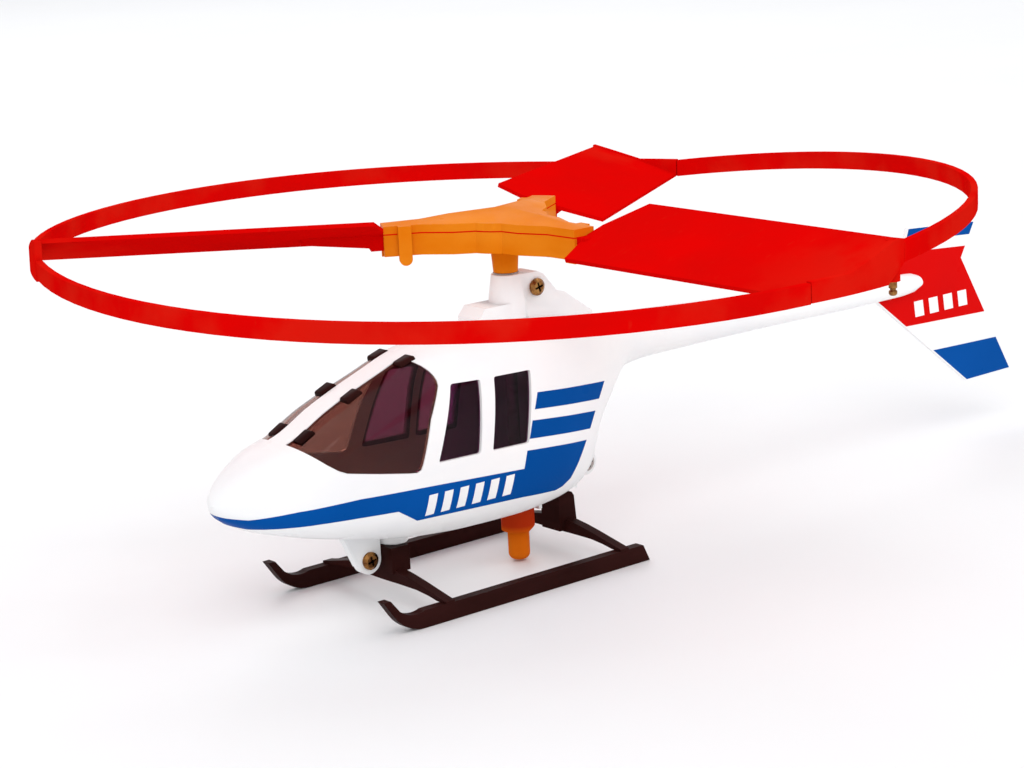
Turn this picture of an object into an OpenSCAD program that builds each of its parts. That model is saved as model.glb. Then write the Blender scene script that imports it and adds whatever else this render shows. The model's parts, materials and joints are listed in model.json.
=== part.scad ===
// Toy helicopter with a ring rotor that a pull-cord launcher spins from below.
// Units are millimetres. +X is the nose, +Y the port side, +Z up. Z = 0 is the ground under the
// skids, and X = 0, Y = 0 is the middle of the overall length. Every module below is drawn with
// the rotor axis at X = 0, and place() moves it into that frame.

/* [Rotor] */
// Radius to the middle of the ring's wall
ring_r = 110; // [100:1:120]
// Thickness of the ring's wall
ring_wall = 1.6; // [1.2:0.1:2]
// Height of the ring's band
ring_h = 4.4; // [3.6:0.1:5]
// Height of the middle of the ring above the ground
ring_z = 81.8; // [81:0.1:83]
// Width of a blade, measured along its tilted surface
blade_chord = 28.5; // [24:0.5:30]
// Thickness of a blade
blade_t = 1; // [0.8:0.1:1.8]
// Angle of a blade to the rotor's plane
blade_pitch = 17.5; // [14:0.5:20]
// Distance from the rotor axis to the end of a hub arm
hub_r = 29; // [27:0.5:31]
// Direction of the first blade, measured from the nose towards port
blade_heading = 90; // [85:1:95]

/* [Drive] */
// Diameter of the steel axle
axle_d = 3; // [2.5:0.1:3.4]
// Radial play of the axle in its two bushes
axle_play = 0.05; // [0.02:0.01:0.09]
// Diameter of the pin that the launcher turns
pin_d = 5.3; // [5:0.1:5.6]
// Height of the pin's rounded end above the ground
pin_end_z = 0.5; // [0.3:0.1:1.5]

/* [Fuselage] */
// Widest half-width of the cabin
cabin_half_w = 15; // [14:0.5:16]
// Thickness of the moulded shell
shell_t = 1.2; // [1:0.1:1.5]
// Thickness of the smoked glazing
glass_t = 0.8; // [0.6:0.1:1]
// Half-width of the white pillar between the two windscreens
pillar_half_w = 3.3; // [2.5:0.1:3.6]
// Thickness of the tail fin
fin_t = 1.2; // [0.8:0.1:1.6]
// Distance from the rotor axis back to the tip of the tail fin
tail_length = 184; // [180:1:190]

/* [Landing gear] */
// Distance from the middle to the middle of a skid
skid_y = 22.6; // [21:0.1:24]
// Width of a skid
skid_w = 2.6; // [2:0.1:3]
// Height of a skid's straight part
skid_h = 4.2; // [3.6:0.1:4.8]
// Width of a strut's arm along the helicopter
arm_w = 2.6; // [2.2:0.1:4]

/* [Hidden] */
$fn = 64;

// Colours
WHITE = [0.95, 0.95, 0.94];
RED = [0.88, 0.03, 0.02];
ORANGE = [0.95, 0.5, 0.06];
SMOKE = [0.24, 0.12, 0.16, 0.75];
DARK = [0.14, 0.07, 0.06];
BRASS = [0.72, 0.48, 0.2];
STEEL = [0.55, 0.54, 0.53];

// The overall length runs from the fin's tip to the front of the ring
ring_out = ring_r + ring_wall / 2;
ring_in = ring_r - ring_wall / 2;
axis_x = (tail_length - ring_out) / 2;
ring_low = ring_z - ring_h / 2;
ring_top = ring_z + ring_h / 2;
BLADES = 3;
blade_step = 360 / BLADES;
play = axle_play;
// Gap between parts of one body that are pushed together
SLIP = 0.03;
EPS = 0.01;

// Fuselage stations from the nose to the tail:
// [x, lowest z, highest z, half-width, z of the widest line, upper roundness, lower roundness].
// A roundness of 2 is an ellipse, and more is squarer.
w = cabin_half_w;
STATIONS = [
    [86.4, 31, 34, 0.14 * w, 32.4, 2, 2],
    [85.4, 29.2, 35.8, 0.28 * w, 32.2, 2.1, 2.1],
    [83, 27.4, 37.8, 0.44 * w, 31.8, 2.3, 2.2],
    [78.5, 25.2, 40.6, 0.62 * w, 31, 2.6, 2.4],
    [73, 23.4, 42.8, 0.78 * w, 30.4, 2.9, 2.5],
    [69, 22.2, 43.6, 0.86 * w, 30, 3, 2.6],
    [65.5, 21.2, 44.8, 0.9 * w, 30, 3, 2.7],
    [58, 19.4, 48.8, 0.96 * w, 30, 3, 2.8],
    [50, 17.6, 52.2, 0.99 * w, 30, 2.9, 2.9],
    [42, 16, 55.2, w, 30, 2.8, 3],
    [34, 14.9, 58, w, 31, 2.8, 3],
    [22, 14, 60, w, 32, 2.8, 3],
    [8, 13.8, 60.8, w, 32, 2.8, 3],
    [-4, 14.5, 60.8, 0.97 * w, 33, 2.7, 2.9],
    [-11, 15.8, 60, 0.91 * w, 34, 2.6, 2.8],
    [-15.6, 18, 59, 0.85 * w, 37, 2.5, 2.6],
    [-18.4, 25.5, 58.3, 0.8 * w, 41, 2.4, 2.4],
    [-24.2, 34, 57.3, 0.68 * w, 45, 2.3, 2.3],
    [-32, 42.6, 56, 0.54 * w, 49, 2.2, 2.2],
    [-42, 43.6, 55.4, 0.45 * w, 49, 2.2, 2.2],
    [-60, 43.6, 54.4, 0.37 * w, 48.6, 2.2, 2.2],
    [-90, 43.4, 52.4, 0.3 * w, 47.8, 2.3, 2.3],
    [-120, 43, 50.2, 0.26 * w, 46.6, 2.4, 2.4],
    [-136, 43, 49.2, 0.24 * w, 46.1, 2.4, 2.4],
    [-142, 43.4, 48.8, 0.22 * w, 46, 2.2, 2.2],
    [-145, 44.4, 47.8, 0.17 * w, 46, 2, 2]
];
SECTION_STEPS = 9;

// One point of a half section: j runs from the bottom centre over the widest line to the top
function section_point(s, inset, j) =
    let (half = max(s[3] - inset, 0.6),
         upper = j > SECTION_STEPS,
         angle = 90 * (upper ? j - SECTION_STEPS : j) / SECTION_STEPS,
         power = 2 / (upper ? s[5] : s[6]),
         across = upper ? cos(angle) : sin(angle),
         along = upper ? sin(angle) : cos(angle),
         reach = upper ? s[2] - inset - s[4] : s[1] + inset - s[4])
    [half * pow(max(across, 0), power), s[4] + reach * pow(max(along, 0), power)];

// Outline of the whole half section at a station, on the port side
function section(s, inset, x) =
    [for (j = [0:2 * SECTION_STEPS])
        let (p = section_point(s, inset, j))
        [x, abs(p[0]) < EPS ? 0 : p[0], p[1]]];

// Port half of the shell between two insets from the outer surface, with its closed ends.
// first and end pick a run of stations for the glazing.
module half_shell(outer, inner, first = 0, end = len(STATIONS) - 1) {
    last = end - first;
    cols = 2 * SECTION_STEPS + 1;
    grid = (last + 1) * cols;
    end_shift = function (i, inset) i == 0 ? -inset : (i == last ? inset : 0);
    points = [
        for (inset = [outer, inner], i = [0:last])
            let (s = STATIONS[first + i])
            each section(s, inset, s[0] + end_shift(i, inset))
    ];
    at = function (layer, i, j) layer * grid + i * cols + j;
    faces = [
        for (i = [0:last - 1], j = [0:cols - 2])
            each [
                [at(0, i, j), at(0, i + 1, j + 1), at(0, i + 1, j)],
                [at(0, i, j), at(0, i, j + 1), at(0, i + 1, j + 1)],
                [at(1, i, j), at(1, i + 1, j), at(1, i + 1, j + 1)],
                [at(1, i, j), at(1, i + 1, j + 1), at(1, i, j + 1)]
            ],
        for (i = [0:last - 1])
            each [
                [at(0, i, 0), at(1, i + 1, 0), at(1, i, 0)],
                [at(0, i, 0), at(0, i + 1, 0), at(1, i + 1, 0)],
                [at(0, i, cols - 1), at(1, i + 1, cols - 1), at(0, i + 1, cols - 1)],
                [at(0, i, cols - 1), at(1, i, cols - 1), at(1, i + 1, cols - 1)]
            ],
        [for (j = [cols - 1:-1:0]) at(0, 0, j)],
        [for (j = [0:cols - 1]) at(0, last, j)],
        [for (j = [0:cols - 1]) at(1, 0, j)],
        [for (j = [cols - 1:-1:0]) at(1, last, j)],
        [at(0, 0, 0), at(1, 0, 0), at(1, 0, cols - 1), at(0, 0, cols - 1)],
        [at(0, last, 0), at(0, last, cols - 1), at(1, last, cols - 1), at(1, last, 0)]
    ];
    polyhedron(points, faces, convexity = 10);
}

// Extrudes a side-view outline (x, z) across Y, from y0 to y1
module across(y0, y1) {
    translate([0, y1, 0]) rotate([90, 0, 0]) linear_extrude(y1 - y0) children();
}

// A cylinder along Y from y0 to y1 at the side-view point p
module pin_across(p, r, y0, y1) {
    translate([p[0], y1, p[1]]) rotate([90, 0, 0]) cylinder(h = y1 - y0, r = r);
}

// Moves a module drawn round the rotor axis into the part's frame
module place() {
    translate([axis_x, 0, 0]) children();
}

// The port half is drawn; the starboard half is its mirror image
module starboard() {
    mirror([0, 1, 0]) children();
}

/* Fuselage: side-view outlines (x, z) round the rotor axis */
module windscreen_outline() {
    polygon([[68.6, 43.6], [66.4, 41.6], [64, 39.5], [61.6, 37.8], [59.6, 36.9], [51.4, 35.2],
             [43, 33.6], [40.6, 33.4], [39.2, 34.1], [38, 37.4], [35.4, 44.6], [31.4, 51.5],
             [31.6, 53.5], [32.8, 55.5], [34.8, 57.3], [36.5, 58.5], [36.5, 70], [68.6, 70]]);
}
module front_side_window() { polygon([[34.6, 34.4], [22.2, 34.1], [19.8, 51], [28.2, 51.4]]); }
module rear_side_window() { polygon([[18.6, 34], [7.6, 33.7], [4.8, 50.6], [15.8, 50.9]]); }

module fin_outline() {
    polygon([[-141.3, 61.4], [-169, 59.5], [-163.4, 49.9], [-tail_length, 14.5], [-165, 14.3],
             [-128, 43.2], [-125, 44.6], [-125, 47.6], [-137, 48.4]]);
}
module mast_outline() {
    polygon([[0, 71.2], [-7.2, 71.1], [-9, 70.2], [-12.9, 65.6], [-15.4, 64.8], [-24, 58.8],
             [-24, 54], [0, 54]]);
}
module plinth_outline() {
    polygon([[0, 64.8], [9.9, 64.8], [12, 62.5], [12, 56], [0, 56]]);
}
module belly_lug_outline() {
    polygon([[53, 20], [53, 17.9], [49.2, 9.8], [belly_lug[0], belly_lug[1]],
             [belly_lug[0] - lug_r, belly_lug[1]], [belly_lug[0] - lug_r, 18]]);
}

// Places and sizes that several fuselage parts share
belly_lug = [45.8, 10.8];
tail_lug = [-20.6, 20.9];
mast_boss = [-6.6, 67.4];
lug_r = 3.3;
tail_lug_r = 3.2;
mast_half_w = 3.2;
mast_top = 71.5;
lug_half_w = 1.1;
tail_lug_half_w = 2.5;
screw_r = 0.9;
head_r = 2.1;
head_h = 1.1;
bush_r = 2.4;
lower_bush_r = 3.4;
flange_h = 0.5;
belly_z = 13.9;
bush_top_z = 18;
peg_r = 1.2;
front_peg = [38, 0];
front_boss_r = 3.6;
rear_peg = [-12.7, 0];
boss_z = 13.6;
rear_boss_z = 15.6;

// One port half of the fuselage before its holes
module fuselage_solid() {
    difference() {
        half_shell(0, shell_t);
        across(pillar_half_w, 30) windscreen_outline();
        across(9, 30) front_side_window();
        across(9, 30) rear_side_window();
    }
    // mast round the axle, with a plate behind it and a plinth in front
    intersection() {
        union() {
            translate([0, 0, 64.8]) cylinder(h = mast_top - 64.8, r1 = 4.5, r2 = 3.5);
            translate([0, 0, 58]) cylinder(h = 6.9, r = 4.5);
        }
        across(0, 10) translate([-10, 50]) square([20, 30]);
    }
    across(0, mast_half_w) mast_outline();
    across(0, 4) plinth_outline();
    // lugs for the front and rear screws
    across(0, lug_half_w) belly_lug_outline();
    pin_across(belly_lug, lug_r, 0, lug_half_w);
    pin_across(tail_lug, tail_lug_r, 0, tail_lug_half_w);
    across(0, tail_lug_half_w)
        polygon([[-20.6, 17.7], [-17.3, 17.7], [-17.3, 15.2], [-13, 15.9], [-13, 24], [-20.6, 24]]);
    // boss for the front strut, housing for the lower bush and boss for the rear strut
    half_cylinder([front_peg[0], 0, boss_z], front_boss_r, 4);
    half_cylinder([0, 0, belly_z], lower_bush_r + 1.6, bush_top_z - belly_z);
    half_cylinder([rear_peg[0], 0, rear_boss_z], 2.4, 4.8);
    // rib in front of the rear strut
    across(0, 1.5) translate([-6.6, 12]) square([1, 4]);
}

// Port half of a cylinder that stands at p
module half_cylinder(p, r, h) {
    translate(p) intersection() {
        cylinder(h = h, r = r);
        translate([-r, 0, 0]) cube([2 * r, r, h]);
    }
}

module fuselage_half() {
    difference() {
        fuselage_solid();
        // room for the axle and seats for its bushes
        translate([0, 0, 50]) cylinder(h = 22, r = bush_r + SLIP);
        translate([0, 0, 10]) cylinder(h = 10, r = lower_bush_r + SLIP);
        // screw holes, strut pegs and the fin's slot
        pin_across(mast_boss, screw_r + SLIP, -1, 5);
        pin_across(belly_lug, screw_r + SLIP, -1, 5);
        pin_across(tail_lug, screw_r + SLIP, -1, 5);
        translate([front_peg[0], 0, 10]) cylinder(h = 10, r = peg_r + SLIP);
        translate([rear_peg[0], 0, 10]) cylinder(h = 9.4, r = peg_r + SLIP);
        across(-1, fin_t / 2) fin_outline();
    }
}
module fuselage_left() color(WHITE) place() fuselage_half();
module fuselage_right() color(WHITE) place() starboard() fuselage_half();

/* Smoked glazing. A pane fills its opening, and its flange lies behind the shell. */
pane_depth = 0.2;
pane_gap = 0.1;
flange_reach = 1.2;
// [x, z, slope] of the three hooks along a windscreen's upper edge
HOOKS = [[64.4, 44.4, 28], [50.9, 51.6, 23], [35.8, 56.4, 17]];

module windscreen_half() {
    intersection() {
        half_shell(pane_depth, shell_t + glass_t, 4, 12);
        across(pillar_half_w + pane_gap, 30) offset(delta = -pane_gap) windscreen_outline();
    }
    intersection() {
        half_shell(shell_t + EPS, shell_t + glass_t, 4, 12);
        across(pillar_half_w - 1, 30) offset(delta = flange_reach) windscreen_outline();
    }
    intersection() {
        across(pillar_half_w + pane_gap, 30) offset(delta = -pane_gap) windscreen_outline();
        for (h = HOOKS)
            translate([h[0], pillar_half_w + 0.2, h[1]]) rotate([0, h[2], 0]) translate([-2.4, 0, -1])
                cube([4.8, 2.2, 1.6]);
    }
}
module windscreen_left() color(SMOKE) place() windscreen_half();
module windscreen_right() color(SMOKE) place() starboard() windscreen_half();

// One insert serves both side windows
module side_window_half() {
    intersection() {
        half_shell(shell_t + EPS, shell_t + glass_t, 9, 13);
        across(9, 30) polygon([[36.2, 32.8], [5.6, 32.2], [2.6, 52.4], [29.2, 52.4]]);
    }
}
module side_window_left() color(SMOKE) place() side_window_half();
module side_window_right() color(SMOKE) place() starboard() side_window_half();

module tail_fin() color(WHITE) place() across(-fin_t / 2, fin_t / 2) fin_outline();

/* Bushes and screws */
// Bush from z0 to z1 with a flange of radius flange_r on the outside at z
module bush(z0, z1, r, flange_z, flange_r) {
    difference() {
        union() {
            translate([0, 0, z0]) cylinder(h = z1 - z0, r = r);
            translate([0, 0, flange_z]) cylinder(h = flange_h, r = flange_r);
        }
        translate([0, 0, z0 - 1]) cylinder(h = z1 - z0 + 3, r = axle_d / 2 + play);
    }
}
module upper_bush() color(DARK) place() bush(64, mast_top, bush_r, mast_top - flange_h, bush_r);
module lower_bush() color(DARK) place()
    bush(belly_z, bush_top_z + flange_h, lower_bush_r, bush_top_z, 4.4);

// Cross-head screw whose head sits on the port face at y = face, at the side-view point p
module screw(p, face, tip) {
    difference() {
        union() {
            pin_across(p, screw_r, tip, face + EPS);
            pin_across(p, head_r, face, face + 0.6);
            // domed top of the head
            translate([p[0], face + 0.6 - EPS, p[1]]) rotate([-90, 0, 0])
                cylinder(h = head_h - 0.6, r1 = head_r, r2 = head_r - 0.7);
        }
        for (turn = [15, 105])
            translate([p[0], face + head_h - 0.2, p[1]]) rotate([0, turn, 0])
                cube([2.4, 0.9, 0.5], center = true);
    }
}
module mast_screw() color(BRASS) place() screw(mast_boss, mast_half_w, -mast_half_w);
module belly_screw() color(BRASS) place() screw(belly_lug, lug_half_w, -lug_half_w);
module tail_screw() color(BRASS) place() screw(tail_lug, tail_lug_half_w, -tail_lug_half_w);

/* Landing gear */
// Cross-section of one arm in the (y, z) plane: upper edge outwards, then lower edge back
foot_end = skid_y + skid_w / 2;
ARM_TOP = [[0, 8.6], [5, 8.3], [9, 7.75], [13.5, 6.9], [18, 5.95], [22.3, 5], [foot_end, 4.7]];
ARM_UNDER = [[foot_end, skid_h], [20.5, skid_h], [17.4, 4.75], [13, 5.2], [6, 5.2], [0, 5.1]];
module bow_outline() {
    for (side = [0, 1]) mirror([side, 0]) polygon(concat(ARM_TOP, ARM_UNDER));
}

// A strut: the bow at x0, a block up to the belly, a peg and two feet
module strut(x0, block, block_half_w, peg) {
    translate([x0 - arm_w / 2, 0, 0]) rotate([90, 0, 90]) linear_extrude(arm_w) bow_outline();
    across(-block_half_w, block_half_w) polygon(block);
    translate([peg[0], peg[1], block[2][1] - 2]) cylinder(h = 5, r = peg_r);
    for (side = [-1, 1])
        translate([x0, side * skid_y, skid_h - 2]) cylinder(h = 2.2, r = 0.8);
}
module front_strut()
    color(DARK) place()
        strut(40.4, [[37, 7.5], [37, boss_z], [42.3, boss_z], [42.3, 7.5]], 5, front_peg);
module rear_strut()
    color(DARK) place()
        strut(-13.2, [[-10.4, 5.5], [-10.4, 15.5], [-13.6, 15.1], [-14.7, 14.8], [-15.4, 13.8],
              [-16.1, 5.5]], 3.4, rear_peg);

// Side-view outline of a skid: flat, with a slanted rear end and a front that curls up into a
// straight tip, which is cut off level
skid_rear_x = -21.3;
curl_x = 47.6;
curl_r = 10.5;
curl_angle = 55;
curl_t = 1.9;
tip_l = 5;
tip_w = 2;
module skid_outline() {
    steps = 8;
    // the lower edge follows an arc of radius curl_r, the upper one an arc that closes in on it
    lower = [for (i = [0:steps]) let (a = curl_angle * i / steps)
        [curl_x + curl_r * sin(a), curl_r * (1 - cos(a))]];
    upper = [for (i = [steps:-1:0]) let (a = curl_angle * i / steps,
            t = skid_h + (curl_t - skid_h) * i / steps)
        [curl_x + (curl_r - t) * sin(a), curl_r - (curl_r - t) * cos(a)]];
    tip = lower[steps] + tip_l * [cos(curl_angle), sin(curl_angle)];
    polygon(concat([[skid_rear_x, 0]], lower, [tip, tip - [tip_w, 0]], upper,
                   [[skid_rear_x + 2, skid_h]]));
}
module skid() {
    difference() {
        across(skid_y - skid_w / 2, skid_y + skid_w / 2) skid_outline();
        for (x = [40.4, -13.2])
            translate([x, skid_y, skid_h - 2 - SLIP]) cylinder(h = 4, r = 0.8 + SLIP);
    }
}
module skid_left() color(DARK) place() skid();
module skid_right() color(DARK) place() starboard() skid();

/* Rotor: everything here turns with the axle */
hub_low_z = 78;
root_z = 82.6;
root_t = 0.8;
cap_z = root_z + root_t;
cap_t = 1.8;
cap_peak_z = 87.6;
// The frame's rim stands round the root plates, which are smaller than the hub
rim_z = 83.1;
root_inset = 0.65;
neck_low_z = mast_top + 0.3;
washer_t = 0.25;
axle_low_z = 5;
axle_top_z = 86;

module axle()
    color(STEEL) place() translate([0, 0, axle_low_z])
        cylinder(h = axle_top_z - axle_low_z, r = axle_d / 2);

module axle_hole(z0, z1) {
    translate([0, 0, z0]) cylinder(h = z1 - z0, r = axle_d / 2 + SLIP);
}

// Outline of one hub arm along +X, from the centre to its end
ARM = [[0, -8], [13, -6.4], [20, -3.4], [hub_r, -3], [hub_r, 3], [20, 3.4], [13, 6.4], [0, 8]];
waist_r = 10.5;

// Repeats its children at each blade's direction
module per_blade() {
    for (k = [0:BLADES - 1]) rotate([0, 0, blade_heading + k * blade_step]) children();
}
module hub_outline() {
    per_blade() polygon(ARM);
    circle(waist_r);
}
module hub_plate(z0, h) {
    translate([0, 0, z0]) linear_extrude(h) hub_outline();
}

module hub_frame() color(ORANGE) place() {
    difference() {
        union() {
            hub_plate(hub_low_z, rim_z - hub_low_z);
            // lip under the trailing side of each arm's end
            per_blade() translate([25.6, -3, hub_low_z - 0.8]) cube([3.4, 1.4, 1]);
            translate([0, 0, neck_low_z])
                cylinder(h = hub_low_z - neck_low_z + 1, r1 = 2.95, r2 = 3.5);
        }
        axle_hole(neck_low_z - 1, root_z + 1);
        // the frame is hollow from below
        translate([0, 0, hub_low_z - 1]) linear_extrude(root_z - hub_low_z - 0.2) difference() {
            per_blade() polygon([[0, -6], [12, -4.9], [19, -2.1], [25.5, -1.8], [25.5, 1.8],
                                 [19, 2.1], [12, 4.9], [0, 6]]);
            circle(4.6);
        }
        // recess for the root plates, and notches that the necks of the blades fill
        translate([0, 0, root_z]) linear_extrude(2) offset(delta = SLIP - root_inset) hub_outline();
        per_blade() translate([27, -2.2, 70]) cube([5, 4.4, 20]);
    }
}

// Creased top of one arm: a ridge that climbs from the arm's end to the centre
module cap_ridge() {
    z = cap_z + cap_t;
    ridge = [[0, 0, cap_peak_z], [13, 0, z + 1.6], [20, 0, z + 0.8], [hub_r - 1, 0, z + 0.2]];
    top = [for (p = ARM) [p[0], p[1], z]];
    base = [for (p = ARM) [p[0], p[1], z - 0.4]];
    points = concat(ridge, top, base);
    T = 4;
    B = 12;
    polyhedron(points, [
        [0, T + 1, T], [0, 1, T + 1], [1, T + 2, T + 1], [1, 2, T + 2], [2, T + 3, T + 2],
        [2, 3, T + 3], [3, T + 4, T + 3], [3, T + 5, T + 4], [3, 2, T + 5], [2, T + 6, T + 5],
        [2, 1, T + 6], [1, T + 7, T + 6], [1, 0, T + 7], [T + 7, 0, T],
        for (i = [0:7]) let (n = (i + 1) % 8) [T + i, T + n, B + n, B + i],
        [for (i = [0:7]) B + i]
    ]);
}

tongue_z = 77.4;
tongue_w = 3.1;
tongue_t = 1.2;
module hub_cap() color(ORANGE) place() {
    difference() {
        union() {
            hub_plate(cap_z, cap_t);
            per_blade() cap_ridge();
            // snap tongues on the leading side of each arm
            per_blade() translate([22.6, 3.5, 0]) {
                translate([0, 0, tongue_z]) cube([tongue_w, tongue_t, cap_z + cap_t - tongue_z]);
                translate([0, -1.2, cap_z]) cube([tongue_w, 2, cap_t]);
                translate([tongue_w / 2, tongue_t, tongue_z]) rotate([90, 0, 0])
                    cylinder(h = tongue_t, r = tongue_w / 2);
            }
        }
        axle_hole(cap_z - 1, axle_top_z + 0.1);
    }
}

module thrust_washer() color(STEEL) place() {
    translate([0, 0, neck_low_z - washer_t]) difference() {
        cylinder(h = washer_t - SLIP, r = 3.1);
        axle_hole(-1, washer_t + 1);
    }
}

// The pin under the belly that the launcher turns, with a rounded end and a collar
collar_z = 8;
collar_top_z = 13.4;
collar_r = 4.1;
ramp_r = 3.1;
tip_r = 1.6;
module drive_pin() color(ORANGE) place() {
    pin_r = pin_d / 2;
    round_z = pin_end_z + tip_r;
    difference() {
        union() {
            translate([0, 0, round_z]) cylinder(h = collar_z - round_z + 1, r = pin_r);
            rotate_extrude() polygon(concat([[0, round_z], [0, pin_end_z]],
                [for (a = [-90:15:0])
                    [pin_r - tip_r + tip_r * cos(a), round_z + tip_r * sin(a)]]));
            translate([0, 0, collar_z]) cylinder(h = collar_top_z - collar_z, r = collar_r);
        }
        // ratchet ramp under one side of the collar
        rotate([0, 0, 130]) across(-6, 6)
            polygon([[ramp_r, collar_z], [ramp_r, collar_z - 1], [6, collar_z - 1], [6, collar_z + 2.4]]);
        translate([0, 0, axle_low_z - SLIP]) cylinder(h = 12, r = axle_d / 2 + SLIP);
    }
}

// Points of the ring's joints, measured from a blade's direction
fence_start = -5.3;
fence_end = 9.8;
plank_v = 3.4;
plank_z = 84;
pin_at = [107.6, 17];
balance_pin_r = 0.92;
balance_pin_z = 76.4;
fence_low_z = ring_low - 0.1;
// Angle by which each blade bends down from its root
BEND = [0, 1.5, -1.4];
// How far each blade's surface is moved along its tilt
SHIFT = [0, -4, 0];
// How far each arc of the warped ring stands above its nominal height: start, middle and end
RISE = [[3.8, 5.2, -2.3], [-2.8, -0.2, 1.6], [2.3, -0.7, -0.3]];
joint_gap = 0.08;
fence_cap_z = 88.5;

// Sector of the ring's wall between two angles and two heights
module wall_sector(a0, a1, z0, z1) {
    rotate([0, 0, a0]) rotate_extrude(angle = a1 - a0)
        translate([ring_in, z0]) square([ring_wall, z1 - z0]);
}

// Puts its children on the tilted surface of a blade that points along +X
module on_plank() {
    translate([0, plank_v, plank_z]) rotate([blade_pitch, 0, 0]) children();
}

// Plan of a blade on its own surface, from the hub to the ring
root_r = hub_r + 0.3;
rear = -blade_chord / 2 + 0.25;
front = blade_chord / 2 + 0.25;
module blade_plan(shift) {
    polygon([[root_r, -2.5], [33.5, rear + shift], [ring_r, rear], [ring_r, front + shift],
             [32.8, front + shift], [root_r, 2.5]]);
}

// The part of a blade that bends: its tilted surface, the web under its root and its part of the
// ring. Only the first blade has the boss for the balance pin.
module blade_wing(drilled, shift) {
    // where the blade's upper surface rises above the ring
    level_v = plank_v + (ring_top - 0.3 - plank_z - blade_t / 2 / cos(blade_pitch)) / tan(blade_pitch);
    // its rise ends at the edge of a shifted blade, or at the cap
    edge_v = plank_v + (front + shift) * cos(blade_pitch);
    cap_v = min(edge_v, level_v + (fence_cap_z - ring_top) / tan(blade_pitch));
    cap_z = ring_top + (cap_v - level_v) * tan(blade_pitch);
    end_v = shift == 0 ? 30 : edge_v + 0.2;
    intersection() {
        on_plank() translate([0, 0, -blade_t / 2]) linear_extrude(blade_t) blade_plan(shift);
        // it stays clear of the ring's arcs, and joins its own part of the ring
        union() {
            cylinder(h = 100, r = ring_in - 0.15);
            rotate([0, 0, fence_start]) rotate_extrude(angle = fence_end - fence_start)
                translate([0, 60]) square([ring_in + 0.3, 40]);
        }
    }
    intersection() {
        across(-2.17, 2.17) polygon([[30, 79.9], [30, 86], [48, 86], [48, 81.6]]);
        on_plank() translate([0, -20, -20]) cube([60, 40, 20]);
    }
    intersection() {
        union() {
            difference() {
                wall_sector(fence_start, fence_end, fence_low_z, 92);
                if (drilled) translate([90, 0, 0]) rotate([90, 0, 90]) linear_extrude(30)
                    polygon([[13, 70], [13, fence_low_z], [18.8, 83.2], [30, 83.2], [30, 70]]);
            }
            if (drilled) translate([pin_at[0], pin_at[1], fence_low_z]) cylinder(h = 14, r = 1.6);
        }
        translate([90, 0, 0]) rotate([90, 0, 90]) linear_extrude(30)
            polygon([[-30, 70], [-30, ring_top], [level_v, ring_top], [cap_v, cap_z], [end_v, cap_z],
                     [end_v, ring_top], [30, ring_top], [30, 70]]);
    }
}

// A blade with its neck and the root plate that the hub clamps
module blade_shape(k) {
    wedge = 40 * tan(blade_step / 2);
    drilled = k == 1;
    difference() {
        union() {
            translate([root_r, 0, plank_z]) rotate([0, BEND[k - 1], 0])
                translate([-root_r, 0, -plank_z]) blade_wing(drilled, SHIFT[k - 1]);
            translate([27 + SLIP, -2.2 + SLIP, 79.4]) cube([5, 4.4 - 2 * SLIP, cap_z - 79.4]);
            // root plate: a step in the frame's recess, and a rim that shows in the hub's seam
            for (layer = [[root_z, root_t, root_inset], [rim_z, cap_z - rim_z, 0]])
                translate([0, 0, layer[0]]) linear_extrude(layer[1]) intersection() {
                    offset(delta = -layer[2]) {
                        polygon(ARM);
                        circle(waist_r);
                    }
                    polygon([[0, 0], [40, -wedge], [40, wedge]]);
                }
        }
        axle_hole(0, 100);
        if (drilled) translate([pin_at[0], pin_at[1], 70]) cylinder(h = 17, r = balance_pin_r + SLIP);
    }
}
module blade(k)
    color(RED) place() rotate([0, 0, blade_heading + (k - 1) * blade_step]) blade_shape(k);
module blade_1() blade(1);
module blade_2() blade(2);
module blade_3() blade(3);

// An arc of the ring, whose height follows a parabola through its three values of RISE
module arc_solid(rise) {
    steps = 30;
    a0 = fence_end + joint_gap;
    a1 = blade_step + fence_start - joint_gap;
    bow = 2 * (rise[0] + rise[2] - 2 * rise[1]);
    points = [
        for (i = [0:steps])
            let (t = i / steps, a = a0 + (a1 - a0) * t,
                 low = ring_low + rise[0] + (rise[2] - rise[0] - bow) * t + bow * t * t)
            each [for (q = [[ring_in, 0], [ring_out, 0], [ring_out, ring_h], [ring_in, ring_h]])
                [q[0] * cos(a), q[0] * sin(a), low + q[1]]]
    ];
    faces = [
        [0, 1, 2, 3],
        [for (j = [3:-1:0]) 4 * steps + j],
        for (i = [0:steps - 1], j = [0:3])
            let (n = (j + 1) % 4, a = 4 * i + j, b = 4 * i + n)
            each [[a, a + 4, b + 4], [a, b + 4, b]]
    ];
    polyhedron(points, faces, convexity = 4);
}
module ring_arc(k) color(RED) place()
    rotate([0, 0, blade_heading + (k - 1) * blade_step]) arc_solid(RISE[k - 1]);
module ring_arc_1() ring_arc(1);
module ring_arc_2() ring_arc(2);
module ring_arc_3() ring_arc(3);

// Brass pin under the first blade's tip, with a groove above its rounded end
module balance_pin() color(BRASS) place() rotate([0, 0, blade_heading])
    translate([pin_at[0], pin_at[1], balance_pin_z])
        rotate_extrude()
            polygon([[0, 0], [0.6, 0], [balance_pin_r, 0.35], [balance_pin_r, 1], [0.65, 1.15],
                     [0.65, 1.5], [balance_pin_r, 1.65], [balance_pin_r, 9.6], [0, 9.6]]);

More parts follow.
